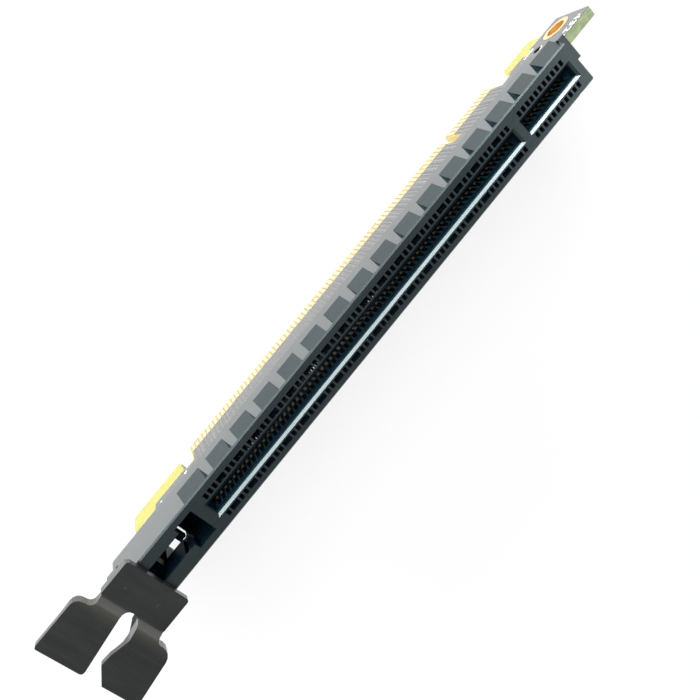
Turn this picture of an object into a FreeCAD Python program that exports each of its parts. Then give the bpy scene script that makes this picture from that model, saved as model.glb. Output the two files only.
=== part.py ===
import FreeCAD, Part
import math
import os

# Slot extender card: a x16 edge plug at the bottom, a x16 socket with a hinged
# card latch along the top, joined by one narrow circuit board.
# X runs along the card towards contact 1, Y is square to the board (row B on +Y),
# Z points out of the socket mouth. Z = 0 is the socket's mating face.

V = FreeCAD.Vector

# Cutting tools reach this far past the surface they open.
PAST = 0.1

# ---- contacts and edge pads: standard x16 spacing --------------------------------
PITCH = 1.0
SHORT_COUNT = 11
LONG_COUNT = 71
X_PIN_1 = 41.5
KEY_STEP = 3.0
KEY_X = X_PIN_1 - 10.0 - KEY_STEP / 2.0

# ---- circuit board ---------------------------------------------------------------
BOARD_T = 1.6
BOARD_HALF = BOARD_T / 2.0
BOARD_TOP_Z = -11.25
PLUG_TIP_Z = -29.4
PLUG_HALF = 42.25
PLUG_ROOT_Z = -21.2
BEVEL_LONG = 1.3
BEVEL_DEEP = 0.47
KEY_HALF = 0.95
KEY_TOP_Z = -21.6
BOARD_LEFT_X = -63.8
BOARD_LEFT_Z = -19.9
BOARD_RIGHT_X = 58.0
BOARD_RIGHT_Z = -21.8
HOOK_Z = -26.6
HOOK_LEFT_X = -57.7
HOOK_RIGHT_X = -45.2
TAB_Z = -26.0
TAB_LEFT_X = 45.2
TAB_RIGHT_X = 53.6
PLUG_CORNER_R = 0.4
ROOT_R = 1.15
SMALL_R = 0.3
HOLE_X = 54.7
HOLE_Z = -18.1
HOLE_D = 3.9
HOLE_BORE = 3.5
HOLE_RING_D = 5.3
PEG_X = 49.7
PEG_Z = -18.3
PEG_D = 1.5

# ---- edge pads -------------------------------------------------------------------
PAD_W = 0.7
PAD_T = 0.05
PAD_TOP_Z = -24.8
PAD_BOTTOM_Z = -28.1
PAD_SHORT_Z = -27.1

# ---- socket housing --------------------------------------------------------------
HOUSE_H = 11.25
HOUSE_RIGHT_X = 44.0
HOUSE_LEFT_X = -62.2
FACE_Y_B = 3.6
LIP_Y_B = 3.85
WALL_Y_B = 3.3
FACE_Y_A = -3.35
LIP_Y_A = -3.5
WALL_Y_A = -3.3
LIP_DEEP = 0.7
SLOT_HALF = 0.87
MOUTH_HALF = 1.5
END_LEAD = 0.5
SLOT_DEPTH = 8.6
RIB_COUNT = 16
RIB_PITCH = 5.5
RIB_LEN = 3.8
RIB_FIRST_X = 39.25
RIB_LAST_LEFT_X = -44.3
RIB_OUT_B = 4.95
RIB_OUT_A = -4.55
RIB_DEEP = 3.1
CELL_W = 0.66
CELL_IN = 1.75
CELL_OUT = 2.65
CELL_WALL_Z = -1.8
PAIR_DEPTH = 3.0
SLOT_RIGHT_X = 42.75
SLOT_LEFT_X = -42.9
KEY_WALL_RIGHT = 0.7
KEY_WALL_LEFT = 0.6
END_TAB_X = 45.2
END_TAB_Y0 = 0.15
END_TAB_Y1 = 4.6
END_TAB_TOP_Z = -0.9
END_TAB_LOW_Z = -1.5
END_ROOT_LEN = 0.6
END_ROOT_Z = -4.5
END_CHAMFER = 0.35
LIP_NOTCH_X = 41.0
LIP_NOTCH_W = 0.8
LIP_NOTCH_DEEP = 0.15

# ---- latch bay in the housing ----------------------------------------------------
POCKET_RIGHT_X = -44.5
POCKET_LEFT_X = -48.0
POCKET_Y_A = -2.35
POCKET_Y_B = 2.6
POCKET_Z = -9.5
BAY_Y_A = -1.3
BAY_Y_B = 1.8
BAY_FLOOR_Z = -10.2
UNDERCUT_Y_B = 2.3
UNDERCUT_Z = -0.8
WINDOW_LEFT_X = -53.8
WINDOW_RIGHT_X = -50.1
WINDOW_Y_A = -2.7
WINDOW_TOP_Z = -5.8
SIDE_GAP_Z = -9.3
GUIDE_SLOT_X0 = -50.15
GUIDE_SLOT_X1 = -49.45
GUIDE_SLOT_Z = -0.35
FOOT_CUT_X = -60.7
FOOT_CUT_Z = -8.7

# ---- spring contacts -------------------------------------------------------------
SPRING_W = 0.46
SPRING_T = 0.2

# ---- latch -----------------------------------------------------------------------
PIVOT_X = -58.6
PIVOT_Z = -5.2
PIVOT_R = 1.0
PIVOT_Y_A = -2.5
PIVOT_Y_B = 2.7
PIVOT_PLAY = 0.05
LATCH_T = 1.15
PLATE_TOP_Z = 1.4
PLATE_HALF = 5.57
PLATE_FRONT_X = -54.9
PLATE_BACK_X = -60.7
PLATE_CORNER_R = 0.5
SKIRT_Y = 4.3
SKIRT_FRONT_X = -55.5
SKIRT_LOW_Z = -0.3
TAIL_FRONT_X = -60.0
TAIL_BACK_X = -71.0
TAIL_HALF = 9.5
COLLAR_Y_A = -2.2
COLLAR_Y_B = 2.1
COLLAR_LOW_Z = -2.35
STEM_Y_A = -1.15
STEM_Y_B = 1.7
STEM_BACK_X = -60.3
STEM_FRONT_X = -55.3
STEM_LOW_Z = -7.3
HOOK_ARM_Y = 0.2
HOOK_ARM_TOP_Z = -4.5
HOOK_ARM_LOW_Z = -5.6
NOSE_TIP_X = -49.1
NOSE_BACK_X = -50.3
NOSE_Y_A = -0.9

PAIRS_B = [14, 19, 23, 27, 33, 37, 41, 45, 50, 54, 58, 62, 66, 70, 74, 78]
PAIRS_A = [13, 16, 21, 25, 29, 35, 39, 43, 47, 52, 56, 60, 64, 68, 72, 76, 80]
SHORT_PADS_B = [17, 31, 48, 81]
SHORT_PADS_A = [1]
# Contacts are grouped by the lane count that adds them, as a x1, x4, x8 and x16 plug.
GROUPS = {"key": (1, 11), "x1": (12, 18), "x4": (19, 32), "x8": (33, 49), "x16": (50, 82)}


def pin_x(k):
    """Position along the card of contact number k."""
    if k <= SHORT_COUNT:
        return X_PIN_1 - (k - 1) * PITCH
    return X_PIN_1 - 10.0 - KEY_STEP - (k - 12) * PITCH


def box(x0, x1, y0, y1, z0, z1):
    return Part.makeBox(x1 - x0, y1 - y0, z1 - z0, V(x0, y0, z0))


def prism_x(points, x0, x1):
    """Solid with a (y, z) outline, running from x0 to x1."""
    ring = [V(x0, y, z) for y, z in points]
    face = Part.Face(Part.makePolygon(ring + [ring[0]]))
    return face.extrude(V(x1 - x0, 0, 0))


def prism_y(points, y0, y1):
    """Solid with an (x, z) outline, running from y0 to y1."""
    ring = [V(x, y0, z) for x, z in points]
    face = Part.Face(Part.makePolygon(ring + [ring[0]]))
    return face.extrude(V(0, y1 - y0, 0))


def round_outline(corners, steps=4):
    """Outline points with each (x, z, radius) corner turned into a short arc."""
    out = []
    count = len(corners)
    for i in range(count):
        x, z, r = corners[i]
        if r <= 0:
            out.append((x, z))
            continue
        px, pz, _ = corners[i - 1]
        nx, nz, _ = corners[(i + 1) % count]
        a = V(px - x, 0, pz - z)
        b = V(nx - x, 0, nz - z)
        a.normalize()
        b.normalize()
        half = math.acos(max(-1.0, min(1.0, a.dot(b)))) / 2.0
        reach = r / math.tan(half)
        mid = a + b
        mid.normalize()
        centre = V(x, 0, z) + mid * (r / math.sin(half))
        start = V(x, 0, z) + a * reach - centre
        end = V(x, 0, z) + b * reach - centre
        sweep = math.atan2(start.x * end.z - start.z * end.x, start.x * end.x + start.z * end.z)
        for s in range(steps + 1):
            t = sweep * s / steps
            c, n = math.cos(t), math.sin(t)
            out.append((centre.x + start.x * c - start.z * n, centre.z + start.x * n + start.z * c))
    return out


# ---- circuit board ---------------------------------------------------------------
key_right = KEY_X + KEY_HALF
key_left = KEY_X - KEY_HALF
outline = round_outline([
    (BOARD_LEFT_X, BOARD_TOP_Z, 0),
    (BOARD_RIGHT_X, BOARD_TOP_Z, 0.9),
    (BOARD_RIGHT_X, BOARD_RIGHT_Z, 0.6),
    (TAB_RIGHT_X, BOARD_RIGHT_Z, SMALL_R),
    (TAB_RIGHT_X, TAB_Z, SMALL_R),
    (TAB_LEFT_X + 1.1, TAB_Z, SMALL_R),
    (TAB_LEFT_X - 1.1, PLUG_ROOT_Z, 0.5),
    (PLUG_HALF, PLUG_ROOT_Z, 0),
    (PLUG_HALF, PLUG_TIP_Z, PLUG_CORNER_R),
    (key_right, PLUG_TIP_Z, SMALL_R),
    (key_right, KEY_TOP_Z, KEY_HALF * 0.98),
    (key_left, KEY_TOP_Z, KEY_HALF * 0.98),
    (key_left, PLUG_TIP_Z, SMALL_R),
    (-PLUG_HALF, PLUG_TIP_Z, PLUG_CORNER_R),
    (-PLUG_HALF, PLUG_ROOT_Z, ROOT_R),
    (HOOK_RIGHT_X + 0.5, PLUG_ROOT_Z, ROOT_R),
    (HOOK_RIGHT_X, HOOK_Z, SMALL_R),
    (HOOK_LEFT_X, HOOK_Z, 1.3),
    (HOOK_LEFT_X, BOARD_LEFT_Z, SMALL_R),
    (BOARD_LEFT_X, BOARD_LEFT_Z, 0.5),
])
board = prism_y(outline, -BOARD_HALF, BOARD_HALF)
for side in (1, -1):
    face_y = side * BOARD_HALF
    low_y = side * (BOARD_HALF - BEVEL_DEEP)
    wedge = [
        (face_y, PLUG_TIP_Z + BEVEL_LONG),
        (low_y, PLUG_TIP_Z),
        (low_y, PLUG_TIP_Z - 1.0),
        (side * 2.0, PLUG_TIP_Z - 1.0),
        (side * 2.0, PLUG_TIP_Z + BEVEL_LONG),
    ]
    board = board.cut(prism_x(wedge, -PLUG_HALF - 1.0, PLUG_HALF + 1.0))
bore = Part.makeCylinder(HOLE_D / 2.0, BOARD_T, V(HOLE_X, -BOARD_HALF, HOLE_Z), V(0, 1, 0))
peg = Part.makeCylinder(PEG_D / 2.0, BOARD_T, V(PEG_X, -BOARD_HALF, PEG_Z), V(0, 1, 0))
board = board.cut(bore).cut(peg)

# ---- plated hole: a tube with a flat ring on each face ---------------------------
ring_y = BOARD_HALF + PAD_T
tube_r = HOLE_D / 2.0
profile = [
    (HOLE_BORE / 2.0, -ring_y),
    (HOLE_RING_D / 2.0, -ring_y),
    (HOLE_RING_D / 2.0, -BOARD_HALF),
    (tube_r, -BOARD_HALF),
    (tube_r, BOARD_HALF),
    (HOLE_RING_D / 2.0, BOARD_HALF),
    (HOLE_RING_D / 2.0, ring_y),
    (HOLE_BORE / 2.0, ring_y),
]
ring = [V(HOLE_X + r, y, HOLE_Z) for r, y in profile]
plating = Part.Face(Part.makePolygon(ring + [ring[0]]))
plating = plating.revolve(V(HOLE_X, 0, HOLE_Z), V(0, 1, 0), 360)


# ---- edge pads -------------------------------------------------------------------
def edge_pads(first, last, side, short_ones):
    pads = []
    for k in range(first, last + 1):
        x = pin_x(k)
        low = PAD_SHORT_Z if k in short_ones else PAD_BOTTOM_Z
        y0 = BOARD_HALF if side > 0 else -BOARD_HALF - PAD_T
        pads.append(box(x - PAD_W / 2, x + PAD_W / 2, y0, y0 + PAD_T, low, PAD_TOP_Z))
    return Part.makeCompound(pads)


# ---- socket housing --------------------------------------------------------------
house_outline = [
    (FACE_Y_A, 0.0),
    (FACE_Y_B, 0.0),
    (LIP_Y_B, FACE_Y_B - LIP_Y_B),
    (LIP_Y_B, -LIP_DEEP),
    (WALL_Y_B, -LIP_DEEP),
    (WALL_Y_B, -HOUSE_H),
    (WALL_Y_A, -HOUSE_H),
    (WALL_Y_A, -LIP_DEEP),
    (LIP_Y_A, -LIP_DEEP),
    (LIP_Y_A, LIP_Y_A - FACE_Y_A),
]
housing = prism_x(house_outline, HOUSE_LEFT_X, HOUSE_RIGHT_X)

rib_spans = [(RIB_FIRST_X, HOUSE_RIGHT_X)]
for i in range(1, RIB_COUNT - 1):
    left = RIB_FIRST_X - i * RIB_PITCH
    rib_spans.append((left, left + RIB_LEN))
last_right = RIB_FIRST_X - (RIB_COUNT - 1) * RIB_PITCH + RIB_LEN
rib_spans.append((RIB_LAST_LEFT_X, last_right))
rib_b = [(LIP_Y_B, -0.3), (RIB_OUT_B, -RIB_DEEP), (WALL_Y_B - 0.1, -RIB_DEEP), (WALL_Y_B - 0.1, -0.3)]
rib_a = [(LIP_Y_A, -0.3), (RIB_OUT_A, -RIB_DEEP), (WALL_Y_A + 0.1, -RIB_DEEP), (WALL_Y_A + 0.1, -0.3)]
ribs = []
for x0, x1 in rib_spans:
    ribs.append(prism_x(rib_b, x0, x1))
    ribs.append(prism_x(rib_a, x0, x1))
end_tab = box(HOUSE_RIGHT_X - PAST, END_TAB_X, END_TAB_Y0, END_TAB_Y1, END_TAB_LOW_Z, END_TAB_TOP_Z)
tab_root_x = HOUSE_RIGHT_X + END_ROOT_LEN
tab_root = box(HOUSE_RIGHT_X - PAST, tab_root_x, END_TAB_Y0, WALL_Y_B, END_ROOT_Z, END_TAB_TOP_Z)
housing = housing.multiFuse(ribs + [end_tab, tab_root])
# The rim has a small notch on row A's side and a bevelled corner at the far end.
notch_x0 = LIP_NOTCH_X - LIP_NOTCH_W / 2.0
notch_x1 = LIP_NOTCH_X + LIP_NOTCH_W / 2.0
rim_notch = box(notch_x0, notch_x1, LIP_Y_A - PAST, LIP_Y_A + LIP_NOTCH_DEEP, -LIP_DEEP, PAST)
corner = [
    V(HOUSE_RIGHT_X + PAST, LIP_Y_A - PAST, -LIP_DEEP),
    V(HOUSE_RIGHT_X + PAST, LIP_Y_A + END_CHAMFER, -LIP_DEEP),
    V(HOUSE_RIGHT_X - END_CHAMFER, LIP_Y_A - PAST, -LIP_DEEP),
]
corner_cut = Part.Face(Part.makePolygon(corner + [corner[0]])).extrude(V(0, 0, LIP_DEEP + PAST))
housing = housing.cut(rim_notch).cut(corner_cut)


def slot_tool(x0, x1):
    """Card slot between x0 and x1 at the mouth, with a sloped lead-in all round."""
    lead = MOUTH_HALF - SLOT_HALF
    body = box(x0 + END_LEAD, x1 - END_LEAD, -SLOT_HALF, SLOT_HALF, -SLOT_DEPTH, 0.1)
    top = [V(x0, -MOUTH_HALF, 0), V(x1, -MOUTH_HALF, 0), V(x1, MOUTH_HALF, 0), V(x0, MOUTH_HALF, 0)]
    low = [
        V(x0 + END_LEAD, -SLOT_HALF, -lead),
        V(x1 - END_LEAD, -SLOT_HALF, -lead),
        V(x1 - END_LEAD, SLOT_HALF, -lead),
        V(x0 + END_LEAD, SLOT_HALF, -lead),
    ]
    mouth = Part.makeLoft([Part.makePolygon(low + [low[0]]), Part.makePolygon(top + [top[0]])], True, True)
    return body.fuse(mouth)


housing = housing.cut(slot_tool(KEY_X + KEY_WALL_RIGHT, SLOT_RIGHT_X))
housing = housing.cut(slot_tool(SLOT_LEFT_X, KEY_X - KEY_WALL_LEFT))


def cell_tool(x0, x1, side):
    """Contact cell: open at the mating face, joined to the slot, open underneath."""
    pts = [
        (CELL_IN, 0),
        (CELL_IN, 0.1),
        (CELL_OUT, 0.1),
        (CELL_OUT, -HOUSE_H - 0.1),
        (SLOT_HALF, -HOUSE_H - 0.1),
        (SLOT_HALF, CELL_WALL_Z),
    ]
    return prism_x([(side * y, z) for y, z in pts], x0, x1)


cells = []
for side in (1, -1):
    for k in range(1, SHORT_COUNT + LONG_COUNT + 1):
        x = pin_x(k)
        cells.append(cell_tool(x - CELL_W / 2, x + CELL_W / 2, side))
housing = housing.cut(Part.makeCompound(cells))
bridges = []
for side, pairs in ((1, PAIRS_B), (-1, PAIRS_A)):
    for k in pairs:
        y0 = CELL_IN if side > 0 else -CELL_OUT
        x0 = pin_x(k + 1) + CELL_W / 2
        x1 = pin_x(k) - CELL_W / 2
        bridges.append(box(x0, x1, y0, y0 + CELL_OUT - CELL_IN, -PAIR_DEPTH, 0.1))
housing = housing.cut(Part.makeCompound(bridges))

# Latch bay: a wide pocket next to the slot, then a narrower bay under the latch that
# widens below its lip. A window in the floor and the foot of wall A opens beside the board.
far_left = HOUSE_LEFT_X - PAST
bay_cuts = [
    box(POCKET_LEFT_X - PAST, POCKET_RIGHT_X, POCKET_Y_A, POCKET_Y_B, POCKET_Z, PAST),
    box(far_left, POCKET_LEFT_X, BAY_Y_A, BAY_Y_B, BAY_FLOOR_Z, PAST),
    box(WINDOW_LEFT_X, POCKET_LEFT_X, BAY_Y_A, UNDERCUT_Y_B, BAY_FLOOR_Z, UNDERCUT_Z),
    box(WINDOW_LEFT_X, WINDOW_RIGHT_X, WINDOW_Y_A, BAY_Y_B, -HOUSE_H - PAST, WINDOW_TOP_Z),
    box(WINDOW_LEFT_X, WINDOW_RIGHT_X, WALL_Y_A - PAST, WINDOW_Y_A, -HOUSE_H - PAST, SIDE_GAP_Z),
    box(GUIDE_SLOT_X0, GUIDE_SLOT_X1, POCKET_Y_A, BAY_Y_A, WINDOW_TOP_Z, GUIDE_SLOT_Z),
]
# Below its guide the bay's wall A slopes back into the wide pocket.
guide_end = [
    (POCKET_LEFT_X, -3.2),
    (POCKET_LEFT_X - 1.1, WINDOW_TOP_Z),
    (WINDOW_RIGHT_X, WINDOW_TOP_Z),
    (WINDOW_RIGHT_X, BAY_FLOOR_Z),
    (POCKET_LEFT_X, BAY_FLOOR_Z),
]
bay_cuts.append(prism_y(guide_end, POCKET_Y_A, BAY_Y_A))
# Room for the latch to swing: both wall tops slope down, and the walls are hollowed
# for the collar under the thumb slot.
swing_room = [(-58.0, PAST), (-58.0, 0.0), (far_left, -3.6), (far_left, PAST)]
bay_cuts.append(prism_y(swing_room, -PLATE_HALF, PLATE_HALF))
collar_room = [(-59.7, 0.0), (-59.7, -2.6), (-61.3, -3.75), (far_left, -4.4), (far_left, 0.0)]
bay_cuts.append(prism_y(collar_room, COLLAR_Y_A - PAST, COLLAR_Y_B + PAST))
bay_cuts.append(box(far_left, FOOT_CUT_X, WALL_Y_A - PAST, WALL_Y_B + PAST, -HOUSE_H - PAST, FOOT_CUT_Z))
for y0, y1 in ((PIVOT_Y_A - PAST, BAY_Y_A), (BAY_Y_B, PIVOT_Y_B + PAST)):
    hole = Part.makeCylinder(PIVOT_R + PIVOT_PLAY, y1 - y0, V(PIVOT_X, y0, PIVOT_Z), V(0, 1, 0))
    bay_cuts.append(hole)
for tool in bay_cuts:
    housing = housing.cut(tool)


# ---- spring contacts -------------------------------------------------------------
def strip(points, thick):
    """Outline of a strip of one thickness following a line of points."""
    left, right = [], []
    count = len(points)
    for i in range(count):
        if i == 0:
            d = V(points[1][0] - points[0][0], points[1][1] - points[0][1], 0)
            d.normalize()
            n, k = V(-d.y, d.x, 0), 1.0
        elif i == count - 1:
            d = V(points[i][0] - points[i - 1][0], points[i][1] - points[i - 1][1], 0)
            d.normalize()
            n, k = V(-d.y, d.x, 0), 1.0
        else:
            a = V(points[i][0] - points[i - 1][0], points[i][1] - points[i - 1][1], 0)
            b = V(points[i + 1][0] - points[i][0], points[i + 1][1] - points[i][1], 0)
            a.normalize()
            b.normalize()
            n = V(-a.y - b.y, a.x + b.x, 0)
            n.normalize()
            k = 1.0 / max(0.3, n.dot(V(-a.y, a.x, 0)))
        h = thick / 2.0 * k
        left.append((points[i][0] + n.x * h, points[i][1] + n.y * h))
        right.append((points[i][0] - n.x * h, points[i][1] - n.y * h))
    return left + right[::-1]


SPRING_LINE = [(0.893, -14.0), (2.4, -10.3), (0.5, -3.7), (1.55, -2.15)]
spring_outline = strip(SPRING_LINE, SPRING_T)


def spring_row(first, last, side):
    pts = [(side * y, z) for y, z in spring_outline]
    springs = []
    for k in range(first, last + 1):
        x = pin_x(k)
        springs.append(prism_x(pts, x - SPRING_W / 2, x + SPRING_W / 2))
    return Part.makeCompound(springs)


# ---- latch: flat plate over the bay, thumb tail, stem with pivot pins and nose ---
plate_low_z = PLATE_TOP_Z - LATCH_T
plate = box(PLATE_BACK_X, PLATE_FRONT_X, -PLATE_HALF, PLATE_HALF, plate_low_z, PLATE_TOP_Z)
skirt_b = box(PLATE_BACK_X, SKIRT_FRONT_X, SKIRT_Y, PLATE_HALF, SKIRT_LOW_Z, plate_low_z)
skirt_a = box(PLATE_BACK_X, SKIRT_FRONT_X, -PLATE_HALF, -SKIRT_Y, SKIRT_LOW_Z, plate_low_z)
plate = plate.multiFuse([skirt_b, skirt_a]).removeSplitter()
corner_edges = []
for e in plate.Edges:
    c = e.CenterOfMass
    at_front = abs(c.x - PLATE_FRONT_X) < 0.01
    if at_front and abs(abs(c.y) - PLATE_HALF) < 0.01:
        corner_edges.append(e)
plate = plate.makeFillet(PLATE_CORNER_R, corner_edges)

# The tail in side view: a bend up from the plate, then a nearly flat thumb rest.
crown = round_outline([
    (TAIL_FRONT_X, 1.4, 0),
    (-60.7, 1.4, 1.2),
    (-62.1, 2.3, 1.8),
    (TAIL_BACK_X, 3.6, 0.25),
    (TAIL_BACK_X, 2.5, 0.25),
    (-65.6, 1.75, 4.0),
    (-62.9, 0.8, 1.0),
    (-61.6, 0.25, 0.8),
    (TAIL_FRONT_X, 0.25, 0),
])
slab = prism_y(crown, -TAIL_HALF, TAIL_HALF)
# Around the closed end of the thumb slot the tail hangs down in a deeper collar.
collar_side = [
    (TAIL_FRONT_X, 1.0),
    (-62.0, 1.0),
    (-64.8, 2.2),
    (-64.8, 1.45),
    (-63.7, 0.2),
    (-63.1, -1.35),
    (-62.8, COLLAR_LOW_Z),
    (TAIL_FRONT_X, COLLAR_LOW_Z),
]
collar = prism_y(collar_side, COLLAR_Y_A, COLLAR_Y_B)
# The tail in plan: two lobes with an open thumb slot between them, (x, y, corner radius).
tail_plan = round_outline([
    (TAIL_FRONT_X, 5.4, 0),
    (-62.45, 5.4, 1.0),
    (-62.7, 8.35, 1.3),
    (TAIL_BACK_X, 8.75, 0.6),
    (TAIL_BACK_X, 0.65, 0.75),
    (-62.1, 1.35, 0),
    (-60.7, 1.35, 1.38),
    (-60.7, -1.45, 1.38),
    (-63.9, -1.85, 1.5),
    (-66.8, -0.85, 2.0),
    (-68.5, -0.62, 0.5),
    (TAIL_BACK_X, -2.65, 0.3),
    (TAIL_BACK_X, -8.8, 0.6),
    (-62.35, -8.3, 1.7),
    (-62.3, -5.45, 0.8),
    (TAIL_FRONT_X, -5.45, 0),
])
ring = [V(x, y, -HOUSE_H) for x, y in tail_plan]
tail_column = Part.Face(Part.makePolygon(ring + [ring[0]])).extrude(V(0, 0, 2.0 * HOUSE_H))
tail = slab.fuse(collar).common(tail_column)

# The stem hangs into the bay on its pivot pins and carries the nose on an offset arm.
stem_side = [
    (STEM_BACK_X, 0.6),
    (STEM_FRONT_X, 0.6),
    (STEM_FRONT_X, -1.6),
    (STEM_FRONT_X + 1.0, -3.6),
    (STEM_FRONT_X + 1.0, HOOK_ARM_LOW_Z),
    (STEM_FRONT_X - 1.3, STEM_LOW_Z),
    (STEM_BACK_X + 0.7, STEM_LOW_Z),
    (STEM_BACK_X, STEM_LOW_Z + 0.9),
]
stem = prism_y(stem_side, STEM_Y_A, STEM_Y_B)
arm = box(STEM_FRONT_X, NOSE_TIP_X, HOOK_ARM_Y, STEM_Y_B, HOOK_ARM_LOW_Z, HOOK_ARM_TOP_Z)
nose = box(NOSE_BACK_X, NOSE_TIP_X, NOSE_Y_A, STEM_Y_B, HOOK_ARM_LOW_Z, HOOK_ARM_TOP_Z)
pivot_len = PIVOT_Y_B - PIVOT_Y_A
pivot_pin = Part.makeCylinder(PIVOT_R, pivot_len, V(PIVOT_X, PIVOT_Y_A, PIVOT_Z), V(0, 1, 0))
latch = plate.multiFuse([tail, stem, arm, nose, pivot_pin]).removeSplitter()

# ---- write one STEP file per node -------------------------------------------------
nodes = {
    "circuit_board": board,
    "hole_plating": plating,
    "locating_pin": peg,
    "socket_housing": housing,
    "card_latch": latch,
}
for group, (first, last) in GROUPS.items():
    nodes["pads_b_" + group] = edge_pads(first, last, 1, SHORT_PADS_B)
    nodes["pads_a_" + group] = edge_pads(first, last, -1, SHORT_PADS_A)
    nodes["springs_b_" + group] = spring_row(first, last, 1)
    nodes["springs_a_" + group] = spring_row(first, last, -1)
os.makedirs("parts", exist_ok=True)
for name, shape in nodes.items():
    shape.exportStep("parts/" + name + ".step")
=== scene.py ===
import bpy
import math
import numpy as np
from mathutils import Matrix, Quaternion, Vector


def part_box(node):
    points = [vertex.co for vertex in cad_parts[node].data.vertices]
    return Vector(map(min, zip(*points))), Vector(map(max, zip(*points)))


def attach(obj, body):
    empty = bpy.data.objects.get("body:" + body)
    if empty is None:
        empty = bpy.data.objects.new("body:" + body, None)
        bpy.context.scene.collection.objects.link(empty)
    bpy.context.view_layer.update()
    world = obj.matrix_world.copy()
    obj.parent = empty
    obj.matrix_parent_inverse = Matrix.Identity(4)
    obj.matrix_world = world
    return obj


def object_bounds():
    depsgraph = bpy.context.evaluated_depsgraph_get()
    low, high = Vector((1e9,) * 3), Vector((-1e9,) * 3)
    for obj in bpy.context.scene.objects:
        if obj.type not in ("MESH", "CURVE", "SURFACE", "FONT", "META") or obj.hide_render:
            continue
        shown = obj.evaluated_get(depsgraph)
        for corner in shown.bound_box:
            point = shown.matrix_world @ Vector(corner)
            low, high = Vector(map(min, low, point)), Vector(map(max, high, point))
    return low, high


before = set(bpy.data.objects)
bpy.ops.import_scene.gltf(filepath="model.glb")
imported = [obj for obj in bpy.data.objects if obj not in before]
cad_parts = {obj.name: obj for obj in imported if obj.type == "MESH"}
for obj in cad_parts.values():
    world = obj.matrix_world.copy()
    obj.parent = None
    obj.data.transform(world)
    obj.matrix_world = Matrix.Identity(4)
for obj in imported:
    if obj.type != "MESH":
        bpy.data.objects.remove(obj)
cad_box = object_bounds()
MM = 0.001

# ---- Stage: floor, light and camera ----------------------------------------------
# The card is seen in front of a white sheet that runs out to the horizon. A soft key
# lamp and a long low window light the row B side, and a dim one stands at the far end.
FLOOR_REACH = 3.0
FLOOR_GLOW = 0.85
ROOM_COLOUR = (0.92, 0.98, 1.0, 1)
HORIZON_LIGHT = 0.4
CEILING_LIGHT = 0.2
CEILING_FROM = 0.8
CAMERA_PLACE = Vector((-0.01742, 0.03926, 0.10866))
CAMERA_TARGET = Vector((-0.01149, -0.00294, -0.006))
CAMERA_ROLL = math.radians(121.77)
CAMERA_LENS = 40.29


def new_finish(name, **settings):
    """A material with a Principled shader: returns (material, its node tree, the shader)."""
    material = bpy.data.materials.new(name)
    material.use_nodes = True
    tree = material.node_tree
    shader = tree.nodes["Principled BSDF"]
    for key, value in settings.items():
        shader.inputs[key.replace("_", " ")].default_value = value
    return material, tree, shader


def node(tree, kind, feeds=(), **settings):
    """Adds a node, sets its properties or, by socket name, its inputs, and links feeds to its inputs."""
    made = tree.nodes.new(kind)
    for key, value in settings.items():
        if hasattr(made, key):
            setattr(made, key, value)
        else:
            made.inputs[key.replace("_", " ")].default_value = value
    for place, source in dict(feeds).items():
        tree.links.new(source, made.inputs[place])
    return made


def maths(tree, operation, first, second=0.0):
    """One math node on two values, each a socket or a number."""
    made = node(tree, "ShaderNodeMath", operation=operation)
    for socket, value in zip(made.inputs, (first, second)):
        if isinstance(value, (int, float)):
            socket.default_value = value
        else:
            tree.links.new(value, socket)
    return made.outputs[0]


floor_white, tree, shader = new_finish("floor_white", Base_Color=(0.9, 0.9, 0.9, 1), Roughness=0.9)
shader.inputs["Specular IOR Level"].default_value = 0.0
path = node(tree, "ShaderNodeLightPath")
direct = maths(tree, "MAXIMUM", path.outputs["Is Camera Ray"], path.outputs["Is Glossy Ray"])
seen = maths(tree, "MAXIMUM", direct, path.outputs["Is Transmission Ray"])
glow = node(tree, "ShaderNodeEmission", Strength=1.0)
blend = node(tree, "ShaderNodeMixShader",
             {0: maths(tree, "MULTIPLY", seen, FLOOR_GLOW), 1: shader.outputs[0], 2: glow.outputs[0]})
tree.links.new(blend.outputs[0], tree.nodes["Material Output"].inputs["Surface"])

floor_mesh = bpy.data.meshes.new("floor")
floor_z = cad_box[0].z
ways = ((-1, -1), (1, -1), (1, 1), (-1, 1))
corners = [(along * FLOOR_REACH, across * FLOOR_REACH, floor_z) for along, across in ways]
floor_mesh.from_pydata(corners, [], [(0, 1, 2, 3)])
floor_mesh.materials.append(floor_white)
floor = bpy.data.objects.new("floor", floor_mesh)
bpy.context.scene.collection.objects.link(floor)

# The room above the horizon is dim, so that black plastic stays black, and white where
# the camera looks at it directly.
world = bpy.data.worlds.new("room")
world.use_nodes = True
bpy.context.scene.world = world
tree = world.node_tree
room = tree.nodes["Background"]
room.inputs["Color"].default_value = ROOM_COLOUR
coords = node(tree, "ShaderNodeTexCoord")
split = node(tree, "ShaderNodeSeparateXYZ", {0: coords.outputs["Generated"]})
height = node(tree, "ShaderNodeMapRange", {"Value": split.outputs["Z"]}, From_Min=0.0,
              From_Max=CEILING_FROM, To_Min=HORIZON_LIGHT, To_Max=CEILING_LIGHT)
tree.links.new(height.outputs[0], room.inputs["Strength"])
backdrop = node(tree, "ShaderNodeBackground", Strength=1.0, Color=(1, 1, 1, 1))
path = node(tree, "ShaderNodeLightPath")
blend = node(tree, "ShaderNodeMixShader",
             {0: path.outputs["Is Camera Ray"], 1: room.outputs[0], 2: backdrop.outputs[0]})
tree.links.new(blend.outputs[0], tree.nodes["World Output"].inputs["Surface"])


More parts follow.
